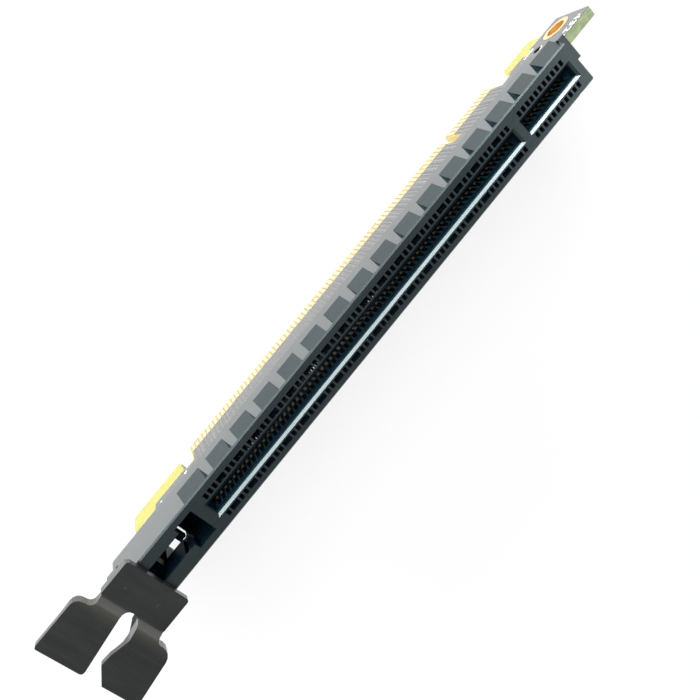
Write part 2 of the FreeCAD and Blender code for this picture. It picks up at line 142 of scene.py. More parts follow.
def soft_lamp(name, place, aim, width, height, power):
    """A rectangular area lamp at place, facing aim, all in metres, with its width level."""
    light = bpy.data.lights.new(name, "AREA")
    light.shape = "RECTANGLE"
    light.size = width
    light.size_y = height
    light.energy = power
    lamp = bpy.data.objects.new(name, light)
    lamp.location = place
    lamp.rotation_mode = "QUATERNION"
    lamp.rotation_quaternion = (Vector(aim) - Vector(place)).to_track_quat("-Z", "Y")
    bpy.context.scene.collection.objects.link(lamp)


soft_lamp("key", (-0.15, 0.5, 0.75), (0.0, 0.0, 0.0), 0.5, 0.5, 9.5)
soft_lamp("window", (0.05, 0.6, 0.22), (0.0, 0.0, 0.0), 1.04, 0.12, 5.3)
soft_lamp("window_far", (0.4, 0.6, 0.22), (0.04, 0.0, 0.0), 0.22, 0.12, 1.3)
soft_lamp("far_end", (0.45, -0.26, 0.5), (-0.03, 0.0, 0.0), 0.3, 0.3, 0.5)

camera = bpy.data.objects.new("camera", bpy.data.cameras.new("camera"))
camera.data.sensor_width = 36.0
camera.data.lens = CAMERA_LENS
camera.data.clip_start = 0.005
camera.data.clip_end = 10.0
camera.rotation_mode = "QUATERNION"
level = (CAMERA_TARGET - CAMERA_PLACE).to_track_quat("-Z", "Y")
camera.location = CAMERA_PLACE
camera.rotation_quaternion = level @ Quaternion((0, 0, 1), CAMERA_ROLL)
bpy.context.scene.collection.objects.link(camera)
bpy.context.scene.camera = camera
bpy.context.scene.view_settings.view_transform = "Standard"

# ---- Circuit board: bare laminate ------------------------------------------------
# The board is 1.6 mm glass-epoxy laminate, routed to shape. It is bare along its cut
# edges and on the lower tabs, where the weave of the glass cloth shows through.
WEAVE = 0.45 * MM
PLY = 0.19 * MM
LAMINATE_LIGHT = (0.46, 0.46, 0.14, 1)
LAMINATE_DEEP = (0.38, 0.34, 0.06, 1)
# Painted shade: the brown of the bare laminate between the edge pads.
SHADE_BETWEEN_PADS = (0.36, 0.27, 0.07, 1)
# Painted light: the bright cream of the cut edges by the plug.
PLUG_CUT_LIT = (0.80, 0.66, 0.28, 1)
EDGE_LIGHT = (0.36, 0.40, 0.20, 1)
EDGE_DARK = (0.12, 0.18, 0.12, 1)
PLUG_X = 42.0 * MM
PADS_TOP = -24.7 * MM
PADS_FOOT = -28.2 * MM


def object_place(tree):
    """The Object coordinates of a surface point."""
    return node(tree, "ShaderNodeTexCoord").outputs["Object"]


def axes_of(tree, source="Object"):
    """The X, Y and Z of a surface point's Object coordinates, or of its Normal."""
    coords = node(tree, "ShaderNodeTexCoord")
    return node(tree, "ShaderNodeSeparateXYZ", {0: coords.outputs[source]}).outputs


def noise(tree, place, size, detail=2.0, stretch=None):
    """Noise from 0 to 1 with features of size metres, drawn out along an axis by stretch."""
    if stretch:
        place = node(tree, "ShaderNodeMapping", {0: place}, Scale=stretch).outputs[0]
    return node(tree, "ShaderNodeTexNoise", {"Vector": place},
                Scale=1.0 / size, Detail=detail).outputs["Fac"]


def bands(tree, place, size, waver, axis):
    """Soft bands from 0 to 1 along an axis, 0.63 of size apart, bent by waver."""
    return node(tree, "ShaderNodeTexWave", {"Vector": place}, Scale=0.5 / size, Distortion=waver,
                bands_direction=axis).outputs["Fac"]


def spread(tree, value, low, high, to_low=0.0, to_high=1.0):
    """Maps low..high of a value to to_low..to_high, held level outside."""
    return node(tree, "ShaderNodeMapRange", {"Value": value},
                From_Min=low, From_Max=high, To_Min=to_low, To_Max=to_high).outputs[0]


def weighed(tree, first, weight, second, other_weight):
    """The sum of two values, each times its own weight."""
    return maths(tree, "ADD", maths(tree, "MULTIPLY", first, weight),
                 maths(tree, "MULTIPLY", second, other_weight))


def both(tree, first, second):
    """The share where two shares from 0 to 1 meet: their product."""
    return maths(tree, "MULTIPLY", first, second)


def between(tree, value, low, high):
    """1 where a value is between low and high, and 0 elsewhere."""
    return both(tree, maths(tree, "GREATER_THAN", value, low), maths(tree, "LESS_THAN", value, high))


def mixed(tree, share, first, second):
    """Blends two colours, each a socket or a tuple, by share. Sockets 6 and 7 take colours."""
    made = node(tree, "ShaderNodeMix", {0: share}, data_type="RGBA")
    for socket, value in ((made.inputs[6], first), (made.inputs[7], second)):
        if isinstance(value, tuple):
            socket.default_value = value
        else:
            tree.links.new(value, socket)
    return made.outputs[2]


def relief(tree, shader, height, depth, strength=1.0):
    """Bumps a shader's surface by height, which runs from 0 to 1 over depth metres."""
    bump = node(tree, "ShaderNodeBump", {"Height": height}, Strength=strength, Distance=depth)
    tree.links.new(bump.outputs[0], shader.inputs["Normal"])


def wear(start, finish):
    """Gives every CAD node whose name begins with start its finish."""
    for name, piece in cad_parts.items():
        if name.startswith(start):
            piece.data.materials.clear()
            piece.data.materials.append(finish)


laminate, tree, shader = new_finish("laminate", Roughness=0.42)
place, axes = object_place(tree), axes_of(tree)
cloth = both(tree, bands(tree, place, WEAVE, 0.6, "X"), bands(tree, place, WEAVE, 0.6, "Z"))
clouds = noise(tree, place, 2.5 * MM)
face = mixed(tree, weighed(tree, cloth, 0.4, clouds, 0.5), LAMINATE_DEEP, LAMINATE_LIGHT)
in_plug = maths(tree, "LESS_THAN", maths(tree, "ABSOLUTE", axes["X"]), PLUG_X)
in_rows = between(tree, axes["Z"], PADS_FOOT, PADS_TOP)
# Between the edge pads the laminate is painted brown: painted shade in the gaps between the pads.
face = mixed(tree, both(tree, in_plug, in_rows), face, SHADE_BETWEEN_PADS)
plies = bands(tree, place, PLY, 1.5, "Y")
grit = noise(tree, place, 0.12 * MM, 4.0)
frayed = spread(tree, noise(tree, place, 0.9 * MM, 5.0), 0.35, 0.65)
sawn = maths(tree, "ADD", weighed(tree, plies, 0.25, grit, 0.25), maths(tree, "MULTIPLY", frayed, 0.5))
# The cut edges by the plug are painted a bright cream: painted light, where the lamps reach them little.
edge = mixed(tree, in_plug, mixed(tree, sawn, EDGE_DARK, EDGE_LIGHT), PLUG_CUT_LIT)
on_flat = spread(tree, maths(tree, "ABSOLUTE", axes_of(tree, "Normal")["Y"]), 0.4, 0.6)
tree.links.new(mixed(tree, on_flat, edge, face), shader.inputs["Base Color"])
relief(tree, shader, maths(tree, "ADD", cloth, grit), 0.01 * MM, 0.5)
wear("circuit_board", laminate)

# ---- Circuit board: solder mask --------------------------------------------------
# A thin coat of black ink lies on both faces over the copper. Each trace runs straight
# from a contact to its edge pad and lifts the coat by its own thickness.
MASK_T = 0.03 * MM
# The coat is a little thinner than its height above the board, so it never meets the board.
MASK_SOLID = 0.026 * MM
TRACE_T = 0.028 * MM
TRACE_SHOULDER = 0.04 * MM
TRACES_START = -14.2 * MM
PITCH = 1.0 * MM
KEY_STEP = 3.0 * MM
SHORT_COUNT = 11
CONTACT_COUNT = 82
SIGNAL_W = 0.30 * MM
GROUND_W = 0.62 * MM
# The positions whose trace is wide, because it goes to ground.
GROUNDS = (4, 7, 13, 16, 18, 21, 22, 25, 26, 29, 32, 35, 36, 39, 40, 43, 44, 47, 49, 52, 53, 56, 57, 60,
           61, 64, 65, 68, 69, 72, 73, 76, 77, 80)
TRACE_TAPER = 0.3 * MM
MASK_ROWS = 40
MASK_PULLBACK = 0.04 * MM
MASK_GAP = 0.02 * MM
NOTCH_HALF = 1.15 * MM
NOTCH_FOOT = -22.45 * MM
NOTCH_RISE = 1.0 * MM
# The corners of the coat's lower outline, in mm.
FOOT_X = (-57.8, -57.4, -52.6, -52.3, -45.2, -44.6, -44.5, -42.2, -41.9,
          41.9, 42.2, 44.2, 45.2, 48.8, 49.0, 50.4, 50.6, 53.5, 53.7)
FOOT_Z = (-19.86, -20.0, -20.0, -22.0, -22.0, -21.6, -21.1, -21.1, -24.75,
          -24.75, -21.1, -21.1, -22.4, -22.2, -21.1, -21.1, -22.0, -21.76, -21.76)
COLUMN_STEP = 0.5 * MM
COLUMN_STEP_BY_HOLES = 0.2 * MM
COLUMN_LEAST_STEP = 0.015 * MM
HOLES_FROM = 46.5 * MM
COLUMNS_BY_KEY = 25
COLUMNS_BY_END = 12
TOP_ROUND = 0.9 * MM
FOOT_ROUND_RIGHT = 0.6 * MM
FOOT_ROUND_LEFT = 0.5 * MM
SIDES = {"b": 1, "a": -1}
MASK_DARK = (0.010, 0.014, 0.015, 1)
MASK_GREY = (0.020, 0.026, 0.026, 1)

board_low, board_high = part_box("circuit_board")
pads_low, pads_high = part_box("pads_b_key")
ring_low, ring_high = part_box("hole_plating")
peg_low, peg_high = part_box("locating_pin")
board_face = board_high.y
hole_middle = (ring_low + ring_high) / 2.0
peg_middle = (peg_low + peg_high) / 2.0
ring_radius = (ring_high.x - ring_low.x) / 2.0
peg_radius = (peg_high.x - peg_low.x) / 2.0
positions = np.arange(1, CONTACT_COUNT + 1)
pad_w = pads_high.x - pads_low.x - (SHORT_COUNT - 1) * PITCH
first_x = pads_high.x - pad_w / 2.0
contact_x = first_x - (positions - 1) * PITCH
contact_x = contact_x - np.where(positions > SHORT_COUNT, KEY_STEP - PITCH, 0.0)
trace_w = np.where(np.isin(positions, GROUNDS), GROUND_W, SIGNAL_W)
key_x = (contact_x[SHORT_COUNT - 1] + contact_x[SHORT_COUNT]) / 2.0


def mesh_piece(name, points, faces, finish, body="card", slot="board", smooth=False):
    """A piece from an array of points (metres) and an array of quads, without unused points."""
    used, faces = np.unique(faces, return_inverse=True)
    mesh = bpy.data.meshes.new(name)
    mesh.from_pydata(points.reshape(-1, 3)[used].tolist(), [], faces.reshape(-1, 4).tolist())
    mesh.update()
    if smooth:
        mesh.shade_smooth()
    mesh.materials.append(finish)
    piece = bpy.data.objects.new(name, mesh)
    bpy.context.scene.collection.objects.link(piece)
    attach(piece, body)
    return piece


def grid_faces(rows, columns):
    """The quads of a grid of points, numbered along each row of columns points."""
    start = np.arange(rows - 1)[:, None] * columns + np.arange(columns - 1)[None, :]
    return np.stack([start, start + 1, start + columns + 1, start + columns], axis=-1).reshape(-1, 4)


def trace_height(x):
    """Height of the copper under the coat at each x.

    It is full over each trace and falls evenly to nothing over the shoulder beside it.
    """
    gap = np.abs(x[:, None] - contact_x[None, :])
    return TRACE_T * np.clip((trace_w / 2.0 + TRACE_SHOULDER - gap) / TRACE_SHOULDER, 0.0, 1.0).max(axis=1)


def corner_drop(x, end_x, radius):
    """How far a round corner that ends at end_x takes the board's outline in, at each x.

    It is the radius less the height of its circle there.
    """
    over = np.clip(radius - np.abs(x - end_x), 0.0, radius)
    return radius - np.sqrt(radius ** 2 - over ** 2)


def mask_foot(x):
    """Where the coat ends below at each x.

    It runs straight between the given corners, rounds the board's two ends, and makes half
    an ellipse over the key slot.
    """
    foot = np.interp(x, np.array(FOOT_X) * MM, np.array(FOOT_Z) * MM)
    foot += corner_drop(x, board_high.x, FOOT_ROUND_RIGHT) + corner_drop(x, board_low.x, FOOT_ROUND_LEFT)
    around = np.clip(1.0 - ((x - key_x) / NOTCH_HALF) ** 2, 0.0, None)
    notch = NOTCH_FOOT + np.sqrt(around) * NOTCH_RISE
    return np.where(around > 0, np.maximum(foot, notch), foot)


def mask_columns():
    """The x of the coat's columns: the edges of each trace, the corners, and an even rest.

    A column that comes closer than the least step to the one before it is left out.
    """
    edges = contact_x[:, None] + np.stack([trace_w / 2.0, trace_w / 2.0 + TRACE_SHOULDER], axis=1)
    mirrored = 2.0 * contact_x[:, None] - edges
    even = np.arange(board_low.x + MASK_PULLBACK, board_high.x - MASK_PULLBACK, COLUMN_STEP)
    by_holes = np.arange(HOLES_FROM, board_high.x - MASK_PULLBACK, COLUMN_STEP_BY_HOLES)
    by_key = key_x + np.linspace(-NOTCH_HALF, NOTCH_HALF, COLUMNS_BY_KEY)
    by_ends = np.linspace(0.0, 1.0, COLUMNS_BY_END) ** 2 * TOP_ROUND + MASK_PULLBACK
    found = np.sort(np.concatenate([edges.ravel(), mirrored.ravel(), even, by_holes, by_key,
                                    np.array(FOOT_X) * MM, board_low.x + by_ends, board_high.x - by_ends]))
    return found[np.append(True, np.diff(found) > COLUMN_LEAST_STEP)]


def mask_coat(side):
    """A coat of ink as a height over a grid: x along the board, z from the top edge to the foot.

    Quads whose middle is inside one of the two holes are dropped, and the points between
    dropped and kept quads are moved onto the hole's circle, so both holes are round.
    """
    x = mask_columns()
    top = board_high.z - MASK_PULLBACK - corner_drop(x, board_high.x, TOP_ROUND)
    share = np.linspace(0.0, 1.0, MASK_ROWS)[:, None]
    z = top + share * (mask_foot(x) - top)[None, :]
    grid_x = np.broadcast_to(x, z.shape).copy()
    lift = trace_height(x)[None, :] * np.clip((TRACES_START - z) / TRACE_TAPER, 0.0, 1.0)
    quads = grid_faces(*z.shape)
    keep = np.ones(len(quads), bool)
    for middle, radius in ((hole_middle, ring_radius + MASK_GAP), (peg_middle, peg_radius + MASK_GAP)):
        away = np.hypot(grid_x - middle.x, z - middle.z)
        dropped = away.ravel()[quads].mean(axis=1) < radius
        border = np.zeros(away.size, bool)
        border[np.intersect1d(quads[dropped], quads[~dropped])] = True
        out = np.where(border.reshape(away.shape), radius / away, 1.0)
        grid_x = middle.x + (grid_x - middle.x) * out
        z = middle.z + (z - middle.z) * out
        keep &= ~dropped
    y = side * (board_face + MASK_T + lift)
    return np.stack([grid_x, y, z], axis=-1), quads[keep][:, ::side]


mask_ink, tree, shader = new_finish("mask_ink", Coat_Weight=1.0, Coat_Roughness=0.12)
place = object_place(tree)
drift = noise(tree, place, 6.0 * MM)
specks = noise(tree, place, 0.25 * MM, 3.0)
tree.links.new(mixed(tree, drift, MASK_DARK, MASK_GREY), shader.inputs["Base Color"])
tree.links.new(spread(tree, specks, 0.3, 0.7, 0.22, 0.36), shader.inputs["Roughness"])
relief(tree, shader, specks, 0.004 * MM, 0.4)
for row, side in SIDES.items():
    coat = mesh_piece("solder_mask_" + row, *mask_coat(side), mask_ink, smooth=True)
    solid = coat.modifiers.new("solid", "SOLIDIFY")
    solid.thickness = MASK_SOLID
    solid.offset = -1.0

# ---- Contacts: landing pads ------------------------------------------------------
# Each spring's foot stands on a copper pad at the top of its trace. The pads are etched
# with the traces, and tinned where the mask leaves them bare.
LAND_W = 0.70 * MM
LAND_TOP = -12.0 * MM
LAND_FOOT = -14.6 * MM
LAND_T = 0.065 * MM
TIN_DULL = (0.52, 0.53, 0.54, 1)
TIN_BRIGHT = (0.80, 0.81, 0.80, 1)


def closed_sheet(top, bottom):
    """A closed solid between two like grids of points, as its points and outward quads.

    Seen from outside, a grid's columns run to the right and its rows run down.
    """
    rows, columns = top.shape[:2]
    count = rows * columns
    index = np.arange(count).reshape(rows, columns)
    rim = np.concatenate([index[0, :-1], index[:-1, -1], index[-1, :0:-1], index[:0:-1, 0]])
    after = np.roll(rim, -1)
    walls = np.stack([rim, after, after + count, rim + count], axis=-1)
    over = grid_faces(rows, columns)[:, ::-1]
    quads = np.concatenate([over, over[:, ::-1] + count, walls])
    return np.concatenate([top.reshape(-1, 3), bottom.reshape(-1, 3)]), quads


def repeat(block, offsets):
    """Repeats a block of (points, quads) at each offset."""
    points, quads = block
    offsets = np.asarray(offsets)
    many = points[None] + offsets[:, None, :]
    shift = np.arange(len(offsets))[:, None, None] * len(points)
    return many.reshape(-1, 3), (quads[None] + shift).reshape(-1, 4)


def on_face(side, along, up, out):
    """A grid of points on a face of the board: to the right as seen, up, and out of the face."""
    grids = np.broadcast_arrays(-side * np.asarray(along), side * (board_face + np.asarray(out)), up)
    return np.stack(grids, axis=-1)


def both_faces(name, make_block, offsets, finish, smooth=False):
    """Repeats a block on both faces of the board, one piece a face."""
    spots = [(x, 0.0, z) for x, z in offsets]
    for row, side in SIDES.items():
        mesh_piece(name + "_" + row, *repeat(make_block(side), spots), finish, smooth=smooth)


def land_block(side):
    """A thin rectangular pad around its contact's x."""
    u = np.array([-1.0, 1.0])[None, :] * LAND_W / 2.0
    v = np.array([LAND_TOP, LAND_FOOT])[:, None]
    return closed_sheet(on_face(side, u, v, LAND_T), on_face(side, u, v, 0.0))


tin, tree, shader = new_finish("tin", Metallic=1.0)
frost = noise(tree, object_place(tree), 0.15 * MM, 4.0)
tree.links.new(mixed(tree, frost, TIN_DULL, TIN_BRIGHT), shader.inputs["Base Color"])
tree.links.new(spread(tree, frost, 0.2, 0.8, 0.22, 0.5), shader.inputs["Roughness"])
relief(tree, shader, frost, 0.01 * MM, 0.5)
both_faces("landing_pads", land_block, [(x, 0.0) for x in contact_x], tin)

# ---- Contacts: solder joints -----------------------------------------------------
# A fillet of solder rises from each landing pad over the foot of its spring, and holds
# it. The solder is tin, drawn into a long drop.
JOINT_HALF_W = 0.34 * MM
JOINT_HALF_LEN = 1.15 * MM
JOINT_Z = -13.3 * MM
JOINT_RISE = 0.42 * MM
DISC_STEPS = 7


def disc_grid(steps=DISC_STEPS):
    """A square grid pressed into the unit disc, as two arrays, row by row from the top.

    Each value is multiplied by the root of 1 less half the square of the other.
    """
    v, u = np.meshgrid(np.linspace(1.0, -1.0, steps), np.linspace(-1.0, 1.0, steps), indexing="ij")
    return u * np.sqrt(1.0 - v * v / 2.0), v * np.sqrt(1.0 - u * u / 2.0)


def joint_block(side):
    """A long dome of solder: its height is the root of 1 less the square of the radius."""
    u, v = disc_grid()
    dome = JOINT_RISE * np.sqrt(np.clip(1.0 - u * u - v * v, 0.0, None)) + LAND_T
    along, up = u * JOINT_HALF_W, JOINT_Z + v * JOINT_HALF_LEN
    return closed_sheet(on_face(side, along, up, dome), on_face(side, along, up, LAND_T / 2.0))


both_faces("solder_joints", joint_block, [(x, 0.0) for x in contact_x], tin, smooth=True)

# ---- Circuit board: vias ---------------------------------------------------------
# Ground traces join the inner copper through small plated holes, which the mask ink
# covers. Two stand in each of those traces.
VIA_RADIUS = 0.26 * MM
VIA_RISE = 0.05 * MM
VIA_RIM = 0.6
VIA_STEPS = 9
VIA_Z = (-16.2 * MM, -18.9 * MM)


def via_block(side):
    """A low round rim with a dimple in its middle: its height falls off on both sides of the rim."""
    u, v = disc_grid(VIA_STEPS)
    off_rim = np.abs(np.hypot(u, v) - VIA_RIM) / (1.0 - VIA_RIM)
    rise = VIA_RISE * np.clip(1.0 - off_rim, 0.0, 1.0) + MASK_T + TRACE_T
    along, up = u * VIA_RADIUS, v * VIA_RADIUS
    return closed_sheet(on_face(side, along, up, rise), on_face(side, along, up, MASK_T))


ground_x = contact_x[np.isin(positions, GROUNDS)]
both_faces("vias", via_block, [(x, z) for x in ground_x for z in VIA_Z], mask_ink, smooth=True)

# ---- Circuit board: printed marks ------------------------------------------------
# White epoxy ink, screened onto the mask on row B's side: a short arc by the peg, two small
# rings by the hook and plain numbers by the round hole. A white stroke below the peg, in the
# same finish, is a painted reflection of the board's cut edge.
INK_T = 0.02 * MM
INK_FOOT = MASK_T * 0.9
INK_THIN = (0.62, 0.63, 0.62, 1)
INK_FULL = (0.92, 0.93, 0.92, 1)
ARC_STEPS = 13
WELD_REACH = 0.001 * MM
NUMBERS_BOX = (51.4 * MM, 56.6 * MM, -13.4 * MM, -11.7 * MM)


def arc_block(middle_x, middle_z, radius, width, start, end):
    """A flat arc of ink on row B's face, from start to end degrees about its middle."""
    angle = np.radians(np.linspace(start, end, ARC_STEPS))[None, :]
    reach = (radius + width * np.array([0.5, -0.5]))[:, None]
    along, up = -middle_x - reach * np.cos(angle), middle_z + reach * np.sin(angle)
    return closed_sheet(on_face(1, along, up, INK_FOOT + INK_T), on_face(1, along, up, INK_FOOT))


def joined(blocks):
    """Several blocks of (points, quads) as one."""
    counts = np.cumsum([0] + [len(points) for points, _ in blocks[:-1]])
    return (np.concatenate([points for points, _ in blocks]),
            np.concatenate([quads + count for (_, quads), count in zip(blocks, counts)]))


print_ink_and_reflection, tree, shader = new_finish("print_ink_and_reflection", Roughness=0.5)
worn = noise(tree, object_place(tree), 0.3 * MM, 4.0)
tree.links.new(mixed(tree, spread(tree, worn, 0.35, 0.5), INK_THIN, INK_FULL), shader.inputs["Base Color"])
relief(tree, shader, worn, 0.008 * MM, 0.4)
# Each mark is an arc: the x and z of its middle, its radius, its width and its two ends.
marks = ((peg_middle.x, peg_middle.z, 1.0 * MM, 0.14 * MM, 20, 95),
         # The second arc, the long stroke below the peg, is a painted reflection.
         (49.35 * MM, -26.0 * MM, 5.4 * MM, 0.3 * MM, 76, 104),
         (-51.0 * MM, -20.3 * MM, 0.13 * MM, 0.14 * MM, 0, 359),
         (-44.6 * MM, -20.2 * MM, 0.25 * MM, 0.2 * MM, 0, 359))
mesh_piece("printed_marks_and_reflection", *joined([arc_block(*mark) for mark in marks]), print_ink_and_reflection)

# The numbers are set as solid type of any size, which is then fitted to their box. They
# read towards -X, because row B's side is seen from +Y.
letters = bpy.data.curves.new("printed_numbers", "FONT")
letters.body = "4321"
letters.extrude = 0.05
letters.resolution_u = 3
typed = bpy.data.objects.new("typed", letters)
bpy.context.scene.collection.objects.link(typed)
solid_text = bpy.data.meshes.new_from_object(typed.evaluated_get(bpy.context.evaluated_depsgraph_get()))
bpy.data.objects.remove(typed)
typed_points = np.empty(len(solid_text.vertices) * 3)
solid_text.vertices.foreach_get("co", typed_points)
typed_points = typed_points.reshape(-1, 3)
low, high = typed_points.min(axis=0), typed_points.max(axis=0)
unit = (typed_points - low) / (high - low)
low_x, high_x, low_z, high_z = NUMBERS_BOX
placed = np.stack([high_x - unit[:, 0] * (high_x - low_x), board_face + INK_FOOT + unit[:, 2] * INK_T,
                   low_z + unit[:, 1] * (high_z - low_z)], axis=-1)
solid_text.vertices.foreach_set("co", placed.ravel())
solid_text.update()
solid_text.materials.clear()
solid_text.materials.append(print_ink_and_reflection)
printed = bpy.data.objects.new("printed_numbers", solid_text)
bpy.context.scene.collection.objects.link(printed)
weld = printed.modifiers.new("weld", "WELD")
weld.merge_threshold = WELD_REACH
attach(printed, "card")

# ---- Edge pads and plated hole ---------------------------------------------------
# Gold over nickel, plated on the board's copper. The pads carry fine scratches along the
# way they are pushed in, and the hole's rings are a little more matt. The hole's bore is
# painted a deeper orange gold: painted light, for the light inside the barrel.
SCRATCH = 0.06 * MM
STAIN = 1.6 * MM
PAD_PALE = (1.0, 0.93, 0.72, 1)
PAD_DEEP = (1.0, 0.86, 0.58, 1)
RING_PALE = (1.0, 0.92, 0.62, 1)
RING_DEEP = (1.0, 0.82, 0.46, 1)
# Painted light: the deeper orange of the hole's bore.
BORE_LIT_GOLD = (1.0, 0.67, 0.25, 1)


def gold_finish(name, pale, deep, rough, stretch):
    """A gold finish with scratches drawn out by stretch: its material, tree, shader and colour."""
    material, tree, shader = new_finish(name, Metallic=1.0)
    place = object_place(tree)
    scratches = noise(tree, place, SCRATCH, 3.0, stretch)
    tone = weighed(tree, scratches, 0.4, noise(tree, place, STAIN), 0.6)
    colour = mixed(tree, spread(tree, tone, 0.3, 0.7), deep, pale)
    tree.links.new(colour, shader.inputs["Base Color"])
    tree.links.new(spread(tree, scratches, 0.3, 0.7, rough, rough + 0.12), shader.inputs["Roughness"])
    relief(tree, shader, scratches, 0.003 * MM, 0.5)
    return material, tree, shader, colour


pad_gold = gold_finish("pad_gold", PAD_PALE, PAD_DEEP, 0.2, (1.0, 1.0, 0.08))[0]
ring_gold, tree, shader, rings = gold_finish("ring_gold", RING_PALE, RING_DEEP, 0.28, (1.0, 1.0, 1.0))
# The bore is painted a deeper orange gold: painted light inside the barrel.
bore = maths(tree, "LESS_THAN", maths(tree, "ABSOLUTE", axes_of(tree, "Normal")["Y"]), 0.5)
tree.links.new(mixed(tree, bore, rings, BORE_LIT_GOLD), shader.inputs["Base Color"])
wear("pads", pad_gold)
wear("hole_plating", ring_gold)

# ---- Contact springs -------------------------------------------------------------
# Stamped copper-alloy springs, pressed into the housing's cells. Their metal is painted a navy
# black: painted shade, for the dark slot they stand in. The band of gold on the bend that
# touches a card is real plating, made bright as a painted glint where little light reaches.
GOLD_FOOT = -4.2 * MM
GOLD_TOP = -3.35 * MM
# Painted shade: the navy black of the springs' metal.
SPRING_SHADE_DARK = (0.015, 0.025, 0.035, 1)
SPRING_SHADE_LIGHT = (0.050, 0.065, 0.080, 1)
# Gold plating, made bright as a painted glint.
GLINT_GOLD_DARK = (0.60, 0.45, 0.28, 1)
GLINT_GOLD_LIGHT = (1.0, 0.85, 0.64, 1)

spring_metal, tree, shader = new_finish("spring_metal", Metallic=1.0)
drawn = noise(tree, object_place(tree), 0.08 * MM, 3.0, (1.0, 1.0, 0.1))
# The springs' metal, painted navy black as painted shade.
shaded_metal = mixed(tree, drawn, SPRING_SHADE_DARK, SPRING_SHADE_LIGHT)
gold_and_glint = mixed(tree, drawn, GLINT_GOLD_DARK, GLINT_GOLD_LIGHT)
# The band on the bend: gold plating, painted bright as a glint too.
gold_glint_band = between(tree, axes_of(tree)["Z"], GOLD_FOOT, GOLD_TOP)
tree.links.new(mixed(tree, gold_glint_band, shaded_metal, gold_and_glint), shader.inputs["Base Color"])
tree.links.new(spread(tree, drawn, 0.3, 0.7, 0.24, 0.4), shader.inputs["Roughness"])
wear("springs", spring_metal)

# ---- Socket housing --------------------------------------------------------------
# One moulding in black glass-filled plastic, with a satin skin and faint flow lines along
# its length. Its rim is matt. Its ribs' end faces, the foot of the slot's slopes and its
# hollows are matt and painted a dark navy: painted shade, made a little lighter deeper
# down as painted light. It is held by its peg in the board's small hole and by the
# springs' solder joints.
RIM_Y = 3.56 * MM
RIM_Z = -0.28 * MM
SLOPE_Y = 1.6 * MM
SLOPE_MATT = -0.36 * MM
SLOPE_BLEND = 0.08 * MM
INSIDE_Y = 2.9 * MM
INSIDE_TOP = -0.45 * MM
INSIDE_FOOT = -11.2 * MM
INSIDE_X = (-60.0 * MM, 43.9 * MM)
DEEP_NEAR = -0.7 * MM
DEEP_FAR = -3.0 * MM
BAY_X = -45.0 * MM
RIBS_FOOT = -3.2 * MM
WALL_Y = 3.2 * MM
RIM_MATT = 0.75
HOUSING_DARK = (0.011, 0.013, 0.014, 1)
HOUSING_LIGHT = (0.017, 0.019, 0.021, 1)
# Painted shade: the dark navy of the housing's hollows, lighter deeper down.
HOUSING_DEEP_SHADE = ((0.002, 0.007, 0.013, 1), (0.020, 0.060, 0.085, 1))
HOUSING_GLEAM = (0.45, 0.95, 1.0, 1)
# Painted shade: the peg's near black.
PEG_SHADE_BLACK = (0.004, 0.005, 0.006, 1)


def moulded(name, dark, light, deep, matt, rough, gloss, lines, gleam=(1.0, 1.0, 1.0, 1)):
    """A black moulded plastic: fine grain, a cloudy tone and faint flow lines.

    matt(tree) gives three shares from 0 to 1: where the skin is matt, where it is inside,
    in the two deep colours of painted shade, and how deep. lines is the scale that draws out
    the flow lines.
    It returns the material, its tree, its shader and the socket of its colour.
    """
    material, tree, shader = new_finish(name, Specular_Tint=gleam)
    place = object_place(tree)
    flow = noise(tree, place, 0.9 * MM, 3.0, lines)
    grain = noise(tree, place, 0.1 * MM, 3.0)
    tone = weighed(tree, noise(tree, place, 8.0 * MM), 0.5, flow, 0.5)
    dulled, inside, depth = matt(tree)
    skin = mixed(tree, spread(tree, tone, 0.3, 0.7), dark, light)
    colour = mixed(tree, inside, skin, mixed(tree, depth, *deep))
    tree.links.new(colour, shader.inputs["Base Color"])
    tree.links.new(spread(tree, grain, 0.3, 0.7, rough - 0.05, rough + 0.07), shader.inputs["Roughness"])
    tree.links.new(spread(tree, flow, 0.3, 0.7, gloss - 0.04, gloss + 0.04), shader.inputs["Coat Roughness"])
    tree.links.new(spread(tree, dulled, 0.0, 1.0, 1.0, 0.0), shader.inputs["Coat Weight"])
    tree.links.new(spread(tree, dulled, 0.0, 1.0, 0.5, 0.05), shader.inputs["Specular IOR Level"])
    relief(tree, shader, grain, 0.003 * MM, 0.4)
    return material, tree, shader, colour


def housing_matt_and_shade(tree):
    """The housing's three shares, from where a point is and which way it faces."""
    axes = axes_of(tree)
    beside = maths(tree, "ABSOLUTE", axes["Y"])
    end_on = maths(tree, "GREATER_THAN", maths(tree, "ABSOLUTE", axes_of(tree, "Normal")["X"]), 0.7)
    on_ribs = both(tree, maths(tree, "GREATER_THAN", beside, WALL_Y),
                   maths(tree, "GREATER_THAN", axes["Z"], RIBS_FOOT))
    rim = both(tree, maths(tree, "GREATER_THAN", axes["Y"], RIM_Y),
               maths(tree, "GREATER_THAN", axes["Z"], RIM_Z))
    slope = both(tree, maths(tree, "LESS_THAN", beside, SLOPE_Y),
                 spread(tree, axes["Z"], SLOPE_MATT, SLOPE_MATT - SLOPE_BLEND))
    hollow = both(tree, maths(tree, "LESS_THAN", beside, INSIDE_Y),
                  between(tree, axes["Z"], INSIDE_FOOT, INSIDE_TOP))
    within = both(tree, maths(tree, "MAXIMUM", slope, hollow), between(tree, axes["X"], *INSIDE_X))
    # Painted shade: the ribs' end faces take the hollows' dark navy and lose their reflection.
    inside = maths(tree, "MAXIMUM", within, both(tree, end_on, on_ribs))
    depth = both(tree, spread(tree, axes["Z"], DEEP_NEAR, DEEP_FAR),
                 maths(tree, "GREATER_THAN", axes["X"], BAY_X))
    return maths(tree, "MAXIMUM", inside, both(tree, rim, RIM_MATT)), inside, depth


